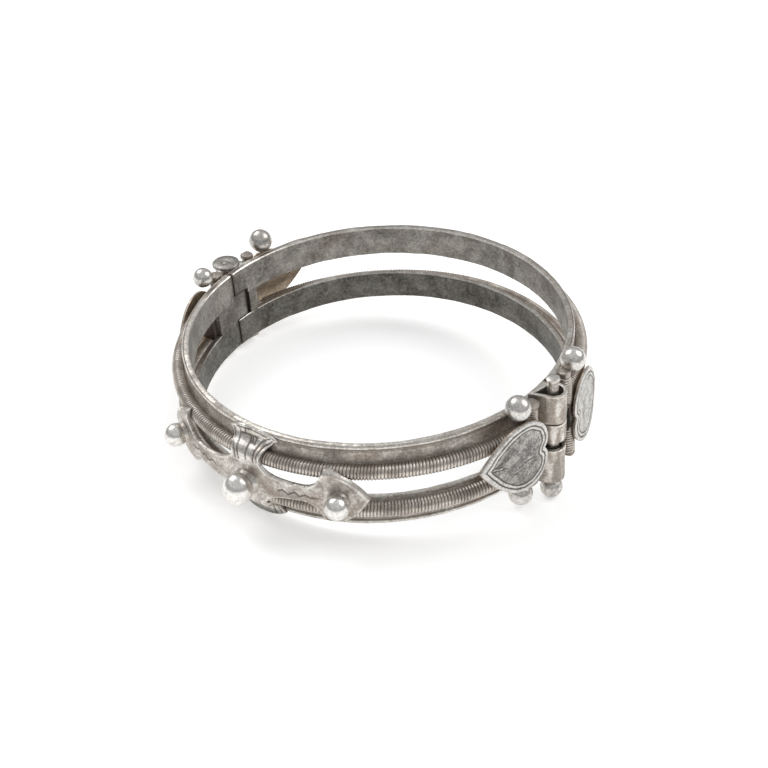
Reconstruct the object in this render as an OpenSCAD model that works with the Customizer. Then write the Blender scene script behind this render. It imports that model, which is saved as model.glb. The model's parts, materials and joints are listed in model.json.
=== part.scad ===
// Hinged silver bangle lying on its side: two half hoops, each with an upper and a lower
// rail of flat strip carrying a wire-wound tube, joined by a hinge and by a loose clasp pin,
// with heart plates beside both joints and a raised cross ornament on the front half.
// All lengths are in millimetres. The hoop is drawn about its own axis with height 0 at the
// lower strip's bottom edge, then laid down on its clasp pin's ball, hinge foot and cross.

/* [Hoop] */
// inside diameter of the hoop
inner_d = 57; // [54:0.5:62]
// thickness of the flat strips
strip_t = 0.9; // [0.8:0.05:1]
// height of the lower strip
lower_h = 4.7; // [4.5:0.1:4.8]
// open height between the two strips
gap_h = 4.0; // [3.9:0.1:4.1]
// height of the upper strip
upper_h = 5.0; // [4.9:0.1:5.1]
// how far the thin rim stands out from the strip
rim_out = 0.2; // [0.1:0.05:0.2]
// height of the thin rim
rim_h = 0.5; // [0.3:0.1:0.6]

/* [Wound tubes] */
// outside diameter of the wire-wound tubes
coil_d = 2.2; // [2:0.05:2.2]
// where a tube starts, as an angle away from the hinge or clasp
coil_start = 10.6; // [10:0.1:13]

/* [Hinge and clasp] */
// direction of the hinge seen from the hoop's centre
hinge_az = 140; // [139:0.5:141]
// direction of the clasp seen from the hoop's centre
clasp_az = 318.5; // [318:0.5:320]
// distance of both joint axes from the hoop's centre
axis_r = 31.5; // [31.4:0.05:31.6]
// outside radius of the knuckles
knuckle_r = 1.85; // [1.8:0.05:1.9]
// wall thickness of the clasp's open loops
loop_t = 0.52; // [0.45:0.01:0.55]
// radius of the hinge pin and the clasp pin
pin_r = 0.95; // [0.85:0.05:1]
// radius of the ball on the clasp pin's lower end
pin_ball_r = 1.65; // [1.5:0.05:1.75]
// radius of the flat cap on the hinge
cap_r = 2.2; // [2:0.05:2.3]

/* [Balls and posts] */
// radius of the balls beside the hinge and the clasp
ball_r = 1.8; // [1.6:0.05:1.8]
// angle between those balls and their joint axis
ball_off = 12.8; // [12.7:0.1:13.2]
// radius of the wire-wound posts
post_r = 0.96; // [0.85:0.01:0.98]
// angle between the posts and their joint axis
post_off = 7.2; // [7:0.1:7.4]
// how far the post beside the clasp on the back half stands out of true
post_tilt = 3.8; // [0:0.2:4]

/* [Heart plates] */
// half height of a heart
heart_half = 5.5; // [5.2:0.1:5.6]
// length of a heart from the notch between its lobes to its tip
heart_l = 10.9; // [10.4:0.1:11.2]
// thickness of the heart plates
heart_t = 0.45; // [0.4:0.05:0.6]
// how far the hearts lean in towards the top
heart_lean = 4; // [3:0.5:4]
// share of the heart taken up by its sunk field
heart_field = 0.79; // [0.74:0.01:0.82]

/* [Cross ornament] */
// direction of the cross seen from the hoop's centre
cross_az = 231.7; // [230:0.1:233]
// thickness of the cross's plate
cross_t = 0.6; // [0.5:0.05:0.7]
// radius of the cross's middle ball
cross_ball_r = 2.05; // [1.9:0.05:2.2]
// radius of the cross's two side balls
side_ball_r = 1.7; // [1.5:0.05:1.8]
// angle between the middle ball and a side ball
side_ball_off = 25.9; // [25.5:0.1:26.3]
// how far the upright arm stands to one side of the cross's middle
cross_shift = 0.6; // [0.4:0.1:0.8]

/* [Hidden] */
$fn = 48;

// heights, measured from the lower strip's bottom edge
upper_z = lower_h + gap_h;
top_z = upper_z + upper_h;
mid_z = top_z / 2;
coil_r = coil_d / 2;
lower_coil_z = lower_h - coil_r - 0.1;
upper_coil_z = upper_z + coil_r + 0.35;

// radii, measured from the hoop's axis
in_r = inner_d / 2;
out_r = in_r + strip_t;
coil_axis_r = out_r + coil_r;
plate_in = coil_axis_r + coil_r + 0.15;
edge = 0.12;
// the plates between the rails are let in a little on both faces
plate_low_r = in_r + 0.05;
plate_high_r = out_r - 0.05;

// the two ends of each half: how far its strips pass the joint axis, or stop short of it
pass = 3.75;
half_slit = 0.14;
// the plates between the rails beside each joint
tongue_pass = 1.5;
tongue_gap = 1.2;
tongue_end = 13.5;
stay_near = 2.8;
stay_far = 5.7;
// heights of the knuckle seams
seam_low = 4.8;
seam_high = 9.5;
slit = 0.05;
clasp_lens = 6.2;
clasp_top = top_z + 0.7;
clasp_bottom = -1.2;
hinge_bottom = -0.9;
rivet_h = 0.45;
cap_h = 0.5;
pin_top = 16.7;
pin_ball_z = clasp_bottom - pin_ball_r - 0.35;

// height of the cross's middle, and its upright arm: corners, arched end and thin lip
cross_z = 6.6;
arm_half = 4.0;
arm_corner = 6.45;
arm_tip = 7.6;
lip_in_r = out_r + rim_out + 0.05;
lip_out_r = lip_in_r + cross_t * 0.75;
function bend(a, b, c, t) = a * (1 - t) * (1 - t) + b * 2 * t * (1 - t) + c * t * t;
function bends(a, b, c, n) = [for (i = [0 : n - 1]) bend(a, b, c, i / n)];
arm_end = bends([0, arm_tip], [2.6, arm_tip], [arm_half, arm_corner], 6);
// the middle ball sits a little low and to one side
cross_ball_low = 0.5;
cross_ball_turn = 0.8;

// the hoop leans on three feet: the hinge's foot, the clasp pin's ball and the cross's lower arm
rivet_r = pin_r + 0.3;
function unit(v) = v / norm(v);
function polar(az, r, z) = [r * cos(az), r * sin(az), z];
function ball_foot(up) = polar(clasp_az, axis_r, pin_ball_z) - pin_ball_r * up;
function hinge_foot(up) =
  polar(hinge_az, axis_r, hinge_bottom - rivet_h) - rivet_r * unit([up[0], up[1], 0]);
function lowest(up, points) =
  let (heights = [for (p = points) up * p]) [for (p = points) if (up * p == min(heights)) p][0];
function arm_foot(up) = lowest(up, [for (p = arm_end, side = [-1, 1])
  polar(cross_az + asin((cross_shift + side * p[0]) / lip_out_r), lip_out_r, cross_z - p[1])]);
function square_to_feet(up) =
  unit(cross(arm_foot(up) - hinge_foot(up), ball_foot(up) - hinge_foot(up)));
up = square_to_feet(square_to_feet(square_to_feet(unit([0.1, 0.03, 1]))));
lean_x = atan2(up[1], up[2]);
lean_y = -atan2(up[0], norm([up[1], up[2]]));
lift = -(up * ball_foot(up));
// sideways shift that puts the middle of the leaning hoop over the origin
slide_x = 0.57;
slide_y = 1.645;

// a polar sector of the hoop made from a profile in radius and height
module sweep(a0, a1) {
  rotate([0, 0, a0]) rotate_extrude(angle = a1 - a0, $fn = 180) children();
}

// the same for a plain band between two radii and two heights
module band(a0, a1, r0, r1, z0, z1) {
  sweep(a0, a1) translate([r0, z0]) square([r1 - r0, z1 - z0]);
}

// places a flat outline against the hoop, x along the hoop, y up, thickness outward
module outward(az) {
  rotate([0, 0, az]) rotate([90, 0, 90]) children();
}

// stands a piece upright at a distance and direction from the hoop's axis
module stand(az, r, z) {
  rotate([0, 0, az]) translate([r, 0, z]) children();
}

// lays the whole hoop down on the surface, centred over the origin
module laid() {
  translate([slide_x, slide_y, lift]) rotate([lean_x, lean_y, 0]) children();
}

// section of a strip whose thin rim runs along the top, with softened edges
module rail_section(h) {
  polygon([[in_r, edge], [in_r + edge, 0], [out_r - edge, 0], [out_r, edge],
           [out_r, h - rim_h], [out_r + rim_out, h - rim_h + edge],
           [out_r + rim_out, h - edge], [out_r + rim_out - edge, h],
           [in_r + edge, h], [in_r, h - edge]]);
}

module upper_rail(a0, a1) {
  sweep(a0, a1) translate([0, upper_z]) rail_section(upper_h);
}

// the lower rail is the upper one turned over: its rim runs along the bottom
module lower_rail(a0, a1) {
  sweep(a0, a1) translate([0, lower_h]) mirror([0, 1]) rail_section(lower_h);
}

// outline of a knuckle: a round loop whose tail runs down to the strip on the given side
function tail_point(side) = [side * 2.75, -(axis_r - out_r) - 0.35];
module loop_outline(r, side, reach) {
  tip = tail_point(side) * reach;
  d = norm(tip);
  base = atan2(tip[1], tip[0]);
  open = acos(r / d);
  inside = r * 0.98;
  circle(r);
  polygon([[0, 0],
           [inside * cos(base - open), inside * sin(base - open)],
           tip,
           [inside * cos(base + open), inside * sin(base + open)]]);
}

// local axes of a knuckle: x along the hoop, y outward from the hoop
module at_joint(az, z) {
  rotate([0, 0, az]) translate([axis_r, 0, z]) rotate([0, 0, 90]) mirror([0, 1, 0]) children();
}

// closed hinge knuckle with a running bore
module hinge_knuckle(side, z0, z1) {
  at_joint(hinge_az, z0) linear_extrude(z1 - z0) difference() {
    loop_outline(knuckle_r, side, 1);
    circle(pin_r + 0.08);
  }
}

// open clasp loop bent from sheet, the same teardrop inside and outside
module clasp_loop(side, z0, z1) {
  full = norm(tail_point(side));
  inner = knuckle_r - loop_t;
  reach = (full - loop_t * full / knuckle_r) / full;
  at_joint(clasp_az, z0) linear_extrude(z1 - z0) difference() {
    loop_outline(knuckle_r, side, 1);
    loop_outline(inner, side, reach);
  }
}

// front half: both strips, the plates that join them, its knuckles
module front_rails() {
  difference() {
    upper_rail(hinge_az + pass + half_slit, clasp_az + pass);
    band(clasp_az - tongue_pass - tongue_gap, clasp_az + pass + 1,
         in_r - 1, out_r + 1, upper_z - 1, seam_high + slit / 2);
  }
  lower_rail(hinge_az + pass + half_slit, clasp_az + pass);
  difference() {
    band(hinge_az - tongue_pass, hinge_az + tongue_end, plate_low_r, plate_high_r,
         lower_h - edge * 2, seam_high - slit * 2);
    band(hinge_az - tongue_pass - 1, hinge_az + pass + half_slit * 3, in_r - 1, out_r + 1,
         lower_h - 1, seam_low);
  }
  band(clasp_az - stay_far, clasp_az - stay_near, plate_low_r, plate_high_r,
       lower_h - edge * 2, upper_z + edge * 2);
  hinge_knuckle(1, seam_low, seam_high - slit);
  clasp_loop(-1, clasp_bottom, seam_low);
  clasp_loop(-1, seam_high, clasp_top);
}

module front_frame() {
  color("silver") laid() front_rails();
}

// back half: its strips reach past the hinge axis, its tongue past the clasp axis
module back_rails() {
  back_end = hinge_az + 360;
  difference() {
    upper_rail(clasp_az + pass + half_slit, back_end + pass);
    band(back_end - tongue_pass - tongue_gap, back_end + pass + 1,
         in_r - 1, out_r + 1, upper_z - 1, seam_high + slit / 2);
  }
  lower_rail(clasp_az + pass + half_slit, back_end + pass);
  difference() {
    band(clasp_az - tongue_pass, clasp_az + tongue_end, plate_low_r, plate_high_r,
         lower_h - edge * 2, seam_high - slit * 2);
    band(clasp_az - tongue_pass - 1, clasp_az + pass + half_slit * 3, in_r - 1, out_r + 1,
         lower_h - 1, clasp_lens);
  }
  band(back_end - stay_far, back_end - stay_near, plate_low_r, plate_high_r,
       lower_h - edge * 2, upper_z + edge * 2);
  hinge_knuckle(-1, hinge_bottom, seam_low - slit);
  hinge_knuckle(-1, seam_high + slit, top_z - slit);
  clasp_loop(1, clasp_lens, seam_high - slit);
}

module back_frame() {
  color("gainsboro") laid() back_rails();
}

// wire-wound tube along a rail, drawn as a plain round bar
module coil(a0, a1, z) {
  color("darkgray") laid() sweep(a0, a1) translate([coil_axis_r, z]) circle(coil_r);
}

module front_upper_coil() {
  coil(hinge_az + coil_start, clasp_az - coil_start, upper_coil_z);
}

module front_lower_coil() {
  coil(hinge_az + coil_start, clasp_az - coil_start, lower_coil_z);
}

module back_upper_coil() {
  coil(clasp_az + coil_start, hinge_az + 360 - coil_start, upper_coil_z);
}

module back_lower_coil() {
  coil(clasp_az + coil_start, hinge_az + 360 - coil_start, lower_coil_z);
}

// upper half of a heart whose notch is at the origin and whose tip lies along x, 1 by 1
heart_bends = concat(
  bends([0, 0], [-0.082, 0.155], [-0.054, 0.379], 4),
  bends([-0.054, 0.379], [-0.03, 0.672], [0.104, 0.853], 5),
  bends([0.104, 0.853], [0.225, 1.017], [0.371, 1], 5),
  bends([0.371, 1], [0.596, 0.966], [0.794, 0.534], 6),
  bends([0.794, 0.534], [0.907, 0.293], [1, 0], 4));
module heart_outline() {
  upper = [for (p = heart_bends) [p[0] * heart_l, p[1] * heart_half]];
  lower = [for (i = [len(upper) - 1 : -1 : 1]) [upper[i][0], -upper[i][1]]];
  polygon(concat(upper, [[heart_l, 0]], lower));
}

// band between two cones that lean in towards the top, given by their radii at mid height
module leaning_band(a0, a1, r0, r1, reach) {
  in = reach * tan(heart_lean);
  sweep(a0, a1) polygon([[r0 + in, mid_z - reach], [r1 + in, mid_z - reach],
                         [r1 - in, mid_z + reach], [r0 - in, mid_z + reach]]);
}

// distance of the hearts' backs from the cross plate's back, and half their band's height
heart_back = 0.62;
heart_reach = 8;

// curved heart plate with a raised border; notch is the notch's distance from the joint
// axis, rise its height above the middle, turn the way the tip is turned up
module heart(az, side, notch, rise, turn) {
  sunk = 0.18;
  half_turn = 32;
  field_x = heart_l * 0.42;
  heart_in = plate_in + heart_back;
  heart_out = heart_in + heart_t;
  color("lightgray") laid() difference() {
    intersection() {
      leaning_band(az - half_turn, az + half_turn, heart_in, heart_out, heart_reach);
      outward(az) mirror([side < 0 ? 1 : 0, 0]) translate([notch, mid_z + rise])
        rotate(turn) linear_extrude(axis_r * 2) heart_outline();
    }
    intersection() {
      leaning_band(az - half_turn, az + half_turn, heart_out - sunk, heart_out + 1, heart_reach);
      outward(az) mirror([side < 0 ? 1 : 0, 0]) translate([notch, mid_z + rise])
        rotate(turn) linear_extrude(axis_r * 2) translate([field_x, 0]) scale(heart_field)
          translate([-field_x, 0]) heart_outline();
    }
  }
}

module front_hinge_heart() {
  heart(hinge_az, 1, 4.4, 0, 0);
}

module front_clasp_heart() {
  heart(clasp_az, -1, 3.6, 0.25, 4.8);
}

module back_hinge_heart() {
  heart(hinge_az, -1, 4.4, 0, 0);
}

module back_clasp_heart() {
  heart(clasp_az, 1, 4.95, -0.4, -3);
}

// wire-wound post beside a joint, drawn as a plain round bar that may stand out of true
post_low = -0.45;
post_high = top_z + 0.5;
post_gap = 0.06;
module post(az, tilt) {
  post_reach = out_r + rim_out + post_gap + post_r;
  color("silver") laid() stand(az, post_reach, mid_z) rotate([tilt, 0, 0])
    translate([0, 0, post_low - mid_z]) cylinder(h = post_high - post_low, r = post_r);
}

module front_hinge_post() {
  post(hinge_az + post_off, 0);
}

module front_clasp_post() {
  post(clasp_az - post_off, 0);
}

module back_hinge_post() {
  post(hinge_az - post_off, 0);
}

module back_clasp_post() {
  post(clasp_az + post_off, post_tilt);
}

// polished ball held between the rim and the heart's upper lobe
ball_reach = 31.0;
ball_above = 1.3;
module ball(az, reach, z, r) {
  color("whitesmoke") laid() stand(az, reach, z) sphere(r);
}

// the two balls at the hinge are a smaller and a larger one
small_by = 0.2;
large_by = 0.1;
module front_hinge_ball() {
  nearer = 1;
  ball(hinge_az + ball_off - nearer, ball_reach, top_z + ball_above, ball_r - small_by);
}

module back_hinge_ball() {
  further = 0.8;
  ball(hinge_az - ball_off - further, ball_reach + large_by / 2,
       top_z + ball_above + large_by / 2, ball_r + large_by);
}

module front_clasp_ball_top() {
  ball(clasp_az - ball_off, ball_reach, top_z + ball_above, ball_r);
}

module back_clasp_ball_top() {
  ball(clasp_az + ball_off, ball_reach, top_z + ball_above, ball_r);
}

// the one ball below the rails sits further in and nearer to the clasp
module front_clasp_ball_low() {
  low_off = 9.6;
  low_reach = out_r + 0.45;
  low_gap = 0.2;
  ball(clasp_az - low_off, low_reach, -ball_r - low_gap, ball_r);
}

// one quarter of the cross outline, from the end of the upright arm to the side arm's tip;
// shift moves the upright arm, low is the side arm's half width
side_arm_tip = [17.65, 0];
function quarter(shift, low) = concat(
  [for (p = arm_end) [p[0] + shift, p[1]]],
  bends([shift + arm_half, arm_corner], [shift + 1.25, 4.3], [shift + 3.1, 2.8], 8),
  bends([shift + 3.1, 2.8], [4.6, low + 0.1], [9.2, low], 6),
  bends([9.2, low], [11.3, low - 0.05], [12.3, 4.75], 7),
  bends([12.3, 4.75], [15.9, 4.1], side_arm_tip, 9));
function turned(points, sx, sy) = [for (p = points) [sx * p[0], sy * p[1]]];
function backwards(points, last) = [for (i = [len(points) - 1 : -1 : last]) points[i]];
module cross_outline() {
  polygon(concat(
    quarter(cross_shift, 1.65), [side_arm_tip],
    backwards(turned(quarter(cross_shift, 1.05), 1, -1), 0),
    [for (i = [1 : len(quarter(0, 1)) - 1]) turned(quarter(-cross_shift, 1.8), -1, -1)[i]],
    [-side_arm_tip],
    backwards(turned(quarter(-cross_shift, 1.1), -1, 1), 1)));
}

// section of one upright arm: over a wound tube and in towards the strip, from the plate's
// back round the arm's end to its face
function arc_points(c, r, a0, a1, n) =
  [for (i = [0 : n]) c + r * [cos(a0 + (a1 - a0) * i / n), sin(a0 + (a1 - a0) * i / n)]];
wrap_in = plate_in - coil_axis_r;
wrap_out = wrap_in + cross_t;
function arm_points(coil_z, end_z) =
  let (up = end_z > coil_z ? 1 : -1, c = [coil_axis_r, coil_z])
  concat(
    arc_points(c, wrap_in, 0, up * 100, 8),
    [[lip_in_r, coil_z + up * (wrap_in + 0.45)], [lip_in_r, end_z], [lip_out_r, end_z],
     [lip_out_r, coil_z + up * (wrap_out + 0.95)],
     [lip_out_r + 0.14, coil_z + up * (wrap_out + 0.4)],
     [lip_out_r + 0.45, coil_z + up * (wrap_out + 0.08)]],
    arc_points(c, wrap_out, up * 75, 0, 7));
module arms_section() {
  arm_over = 0.1;
  polygon(concat(arm_points(upper_coil_z, cross_z + arm_tip + arm_over),
                 backwards(arm_points(lower_coil_z, cross_z - arm_tip - arm_over), 0)));
}

module cross_ornament() {
  ball_sink = 0.3;
  middle = 10;
  side_start = 9;
  side_end = 36;
  side_reach = 5;
  let_in = 0.02;
  color("white") laid() {
    intersection() {
      union() {
        sweep(cross_az - middle, cross_az + middle) arms_section();
        band(cross_az + side_start, cross_az + side_end, plate_in + let_in,
             plate_in + cross_t - let_in, cross_z - side_reach, cross_z + side_reach);
        band(cross_az - side_end, cross_az - side_start, plate_in + let_in,
             plate_in + cross_t - let_in, cross_z - side_reach, cross_z + side_reach);
      }
      outward(cross_az) translate([0, cross_z]) linear_extrude(axis_r * 2) cross_outline();
    }
    stand(cross_az + cross_ball_turn, plate_in + cross_t + cross_ball_r - ball_sink,
          cross_z - cross_ball_low) sphere(cross_ball_r);
    for (side = [-1, 1])
      stand(cross_az + side * side_ball_off, plate_in + cross_t + side_ball_r - ball_sink, cross_z)
        sphere(side_ball_r);
  }
}

// hinge pin with its flat cap on top and a small riveted foot
module hinge_pin() {
  color("gray") laid() stand(hinge_az, axis_r, 0) {
    translate([0, 0, hinge_bottom - rivet_h])
      cylinder(h = top_z + 0.1 - hinge_bottom + rivet_h, r = pin_r);
    translate([0, 0, top_z + 0.05]) cylinder(h = cap_h, r = cap_r);
    translate([0, 0, hinge_bottom - rivet_h]) cylinder(h = rivet_h - 0.05, r = rivet_r);
  }
}

// clasp pin: a plain rod pushed up through the loops, with a ball at its foot
module clasp_pin() {
  dome = 0.25;
  color("gray") laid() stand(clasp_az, axis_r, 0) {
    translate([0, 0, pin_ball_z]) cylinder(h = pin_top - dome - pin_ball_z, r = pin_r);
    translate([0, 0, pin_top - dome]) cylinder(h = dome, r1 = pin_r, r2 = pin_r - dome);
    translate([0, 0, pin_ball_z]) sphere(pin_ball_r);
  }
}

front_frame();
back_frame();
front_upper_coil();
front_lower_coil();
back_upper_coil();
back_lower_coil();
front_hinge_heart();
front_clasp_heart();
back_hinge_heart();
back_clasp_heart();
front_hinge_post();
front_clasp_post();
back_hinge_post();
back_clasp_post();
front_hinge_ball();
back_hinge_ball();
front_clasp_ball_top();
front_clasp_ball_low();
back_clasp_ball_top();
cross_ornament();
hinge_pin();
clasp_pin();
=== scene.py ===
# %% [markdown]
# # An old silver bangle, built around its measured solids
# The bangle is a hinged hoop of two halves. Each half has an upper and a lower rail of flat
# strip, a tube wound with fine wire along each rail, and heart plates beside the hinge and the
# clasp. A cross with three polished balls sits on the front half. The measured solids come from
# the frame and say where everything is. This lesson gives each of them its real surface: wound
# wire, engraved lines, worn rims and old tarnish.

# %% Load the frame
import json
import math

import bmesh
import bpy
import numpy as np
from mathutils import Matrix, Vector, noise


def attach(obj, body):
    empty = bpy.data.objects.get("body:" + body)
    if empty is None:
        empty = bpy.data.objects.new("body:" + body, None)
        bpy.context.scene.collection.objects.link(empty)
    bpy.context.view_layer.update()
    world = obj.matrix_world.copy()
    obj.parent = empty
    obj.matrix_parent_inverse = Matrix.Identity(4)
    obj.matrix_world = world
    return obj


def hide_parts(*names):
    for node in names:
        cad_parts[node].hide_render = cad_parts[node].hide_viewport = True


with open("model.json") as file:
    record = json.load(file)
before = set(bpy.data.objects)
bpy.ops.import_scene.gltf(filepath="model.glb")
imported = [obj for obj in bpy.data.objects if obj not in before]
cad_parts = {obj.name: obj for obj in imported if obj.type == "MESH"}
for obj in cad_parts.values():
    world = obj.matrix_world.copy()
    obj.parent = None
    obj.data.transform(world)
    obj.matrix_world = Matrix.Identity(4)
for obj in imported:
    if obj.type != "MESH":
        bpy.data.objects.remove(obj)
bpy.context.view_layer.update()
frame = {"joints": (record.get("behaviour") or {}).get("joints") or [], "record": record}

# %% [markdown]
# ## The hoop's own frame
# The bangle leans on its clasp ball, so nothing in it is upright. It is far easier to model a
# hoop about its own axis, in millimetres, and to lay the finished piece down once. The record
# gives the axis of the wrist opening and the place of the hinge, and these two fix the frame:
# height 0 is the lower strip's bottom edge, and the hinge lies in direction 140 degrees.

# %% Hoop frame
MM = 0.001
HINGE_AZ, CLASP_AZ, CROSS_AZ = 140.0, 318.5, 231.7
IN_R, OUT_R = 28.5, 29.4
COIL_R = 1.1
COIL_AXIS_R = OUT_R + COIL_R
PLATE_IN = COIL_AXIS_R + COIL_R + 0.15
UPPER_Z, TOP_Z, MID_Z = 8.7, 13.7, 6.85

wrist = next(m for m in frame["record"]["mounts"] if m["name"] == "wrist")
hinge = next(j for j in frame["joints"] if j["name"] == "hinge")
hoop_up = Vector(wrist["axis"]).normalized()
hoop_middle = Vector(wrist["pos_m"])
to_hinge = Vector(hinge["pos_m"]) - hoop_middle
to_hinge = (to_hinge - to_hinge.project(hoop_up)).normalized()
hoop_x = Matrix.Rotation(math.radians(-HINGE_AZ), 3, hoop_up) @ to_hinge
TURN = Matrix((hoop_x, hoop_up.cross(hoop_x), hoop_up)).transposed()
ORIGIN = hoop_middle - hoop_up * MID_Z * MM
LAID = Matrix.Translation(ORIGIN) @ TURN.to_4x4() @ Matrix.Scale(MM, 4)
print("hoop leans", round(math.degrees(hoop_up.angle((0, 0, 1))), 2), "degrees")


def polar(r, az, z):
    """A point of the hoop from its distance to the axis, direction in degrees and height."""
    return Vector((r * math.cos(math.radians(az)), r * math.sin(math.radians(az)), z))


# %% [markdown]
# ## Small tools for the modelling
# Three numbers are painted on the points of every mesh, and the silver reads them: grime is 1
# at the bottom of a groove, worn is 1 where hands have kept an edge bright, and dull is 1 on
# the inside of the hoop, which was never polished. Each of them also carries painted light in a
# few places: the grime number paints shade into some dark corners, the worn number paints light
# and reflections onto some faces, and the dull number paints shade onto faces that lie low or
# under the bangle. Painting them on the mesh keeps them in place when the bangle opens.

# %% Painted shells
PAINTS = ("grime_and_shade", "worn_and_lit", "dull_and_shaded")


def new_shell():
    """An empty mesh with the three painted numbers."""
    bm = bmesh.new()
    for name in PAINTS:
        bm.verts.layers.float.new(name)
    return bm


def paint(bm, rule):
    """Paints grime, worn and dull on all points, as rule(point) says."""
    layers = [bm.verts.layers.float[name] for name in PAINTS]
    for v in bm.verts:
        for layer, value in zip(layers, rule(v.co)):
            v[layer] = value


def join(whole, part):
    """Moves part's shell into whole."""
    mesh = bpy.data.meshes.new("part")
    part.to_mesh(mesh)
    part.free()
    whole.from_mesh(mesh)
    bpy.data.meshes.remove(mesh)


def close_ends(bm):
    """Fills every open loop of the mesh."""
    bmesh.ops.holes_fill(bm, edges=[e for e in bm.edges if e.is_boundary], sides=0)


print("painted on every mesh:", *PAINTS)

# %% [markdown]
# Hand work is never quite even, so every surface is pushed in and out a little by a smooth
# noise. A finished shell then has its double points merged and its faces turned outwards. Only
# edges sharper than a limit stay sharp in the shading. The shell is laid down last, so the
# object itself stays at the origin.

# %% Hand work and finishing
def hand_worked(bm, size, depth, seed=0.0):
    """Gives a surface the slight waves of hand work, size across and depth deep in mm."""
    bm.normal_update()
    shift = Vector((seed, seed * 1.7, seed * 0.3))
    moves = [v.normal * depth * noise.noise(v.co / size + shift) for v in bm.verts]
    for v, move in zip(bm.verts, moves):
        v.co += move


def finish_piece(bm, name, body, node, material, sharp=40.0, second=None):
    """Lays the finished shell down, shades it and hands it to the frame."""
    bmesh.ops.remove_doubles(bm, verts=bm.verts, dist=1e-4)
    bmesh.ops.recalc_face_normals(bm, faces=bm.faces)
    for face in bm.faces:
        face.smooth = True
    for edge in bm.edges:
        edge.smooth = edge.calc_face_angle(0.0) < math.radians(sharp)
    open_edges = sum(not e.is_manifold for e in bm.edges)
    bm.transform(LAID)
    mesh = bpy.data.meshes.new(name)
    bm.to_mesh(mesh)
    bm.free()
    for finish in filter(None, (material, second)):
        mesh.materials.append(finish)
    piece = bpy.data.objects.new(name, mesh)
    bpy.context.scene.collection.objects.link(piece)
    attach(piece, body)
    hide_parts(node)
    mesh.calc_loop_triangles()
    print(f"{name}: {len(mesh.loop_triangles)} triangles, {open_edges} open edges")


print("hoop laid down at", [round(x, 4) for x in LAID.translation])

# %% [markdown]
# ## Old silver
# Sterling-like silver reflects over 90 percent of the light, a touch less in the blue, so
# fresh silver looks faintly warm. On an old piece a brown-grey film of silver sulphide covers
# most of it. It stays in hollows and grooves and is rubbed away on edges and balls. Each
# finish below is the same metal with another history, so one function builds them all: a
# bright colour, a film colour, clouds of film a few millimetres wide, and fine marks.

# %% Colours and nodes
def hex_colour(text):
    """An sRGB hex value as the linear colour that the shader needs."""
    parts = [int(text[i:i + 2], 16) / 255 for i in (1, 3, 5)]
    return tuple(c / 12.92 if c <= 0.04045 else ((c + 0.055) / 1.055) ** 2.4 for c in parts) + (1,)


def add_node(tree, kind, settings=(), inputs=()):
    """Adds one node, sets its settings and sets or links its inputs."""
    node = tree.nodes.new(kind)
    for key, value in dict(settings).items():
        setattr(node, key, value)
    for key, value in dict(inputs).items():
        if isinstance(value, bpy.types.NodeSocket):
            tree.links.new(value, node.inputs[key])
        else:
            node.inputs[key].default_value = value
    return node


print("half grey in linear light", round(hex_colour("#808080")[0], 3))

# %% [markdown]
# The silver reads its place in the hoop's own millimetres, so every noise has a real size.
# Clouds and fine marks differ from finish to finish. Patches of warmer and cooler film are 6
# mm wide, and the grain is 0.3 mm, a little coarser than real so that it shows at all. Three
# painted numbers come from the mesh. An ambient occlusion node finds hollows near other metal.

# %% What the silver reads
TINT_SIZE, GRIT_SIZE = 6.0, 0.3


def silver_inputs(tree, cloud, marks, hollow):
    """A point's noises, painted numbers and open sky, as node outputs by name."""
    place = add_node(tree, "ShaderNodeTexCoord").outputs["Object"]
    hoop = add_node(tree, "ShaderNodeMapping", {"vector_type": "TEXTURE"}, {
        "Vector": place, "Location": ORIGIN, "Rotation": TURN.to_euler(),
        "Scale": (MM, MM, MM)}).outputs["Vector"]
    point = {}
    for key, size, detail in (("clouds", cloud, 5.0), ("fine", marks, 3.0),
                              ("tint", TINT_SIZE, 2.0), ("grit", GRIT_SIZE, 1.0)):
        point[key] = add_node(tree, "ShaderNodeTexNoise", (), {
            "Vector": hoop, "Scale": 1 / size, "Detail": detail, "Roughness": 0.64}).outputs[0]
    for key in PAINTS:
        point[key] = add_node(tree, "ShaderNodeAttribute", {"attribute_name": key}).outputs["Fac"]
    point["open_sky"] = add_node(tree, "ShaderNodeAmbientOcclusion", {"samples": 6},
                                 {"Distance": hollow * MM}).outputs["AO"]
    return point


print("film patches", TINT_SIZE, "mm, grain", GRIT_SIZE, "mm")
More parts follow.
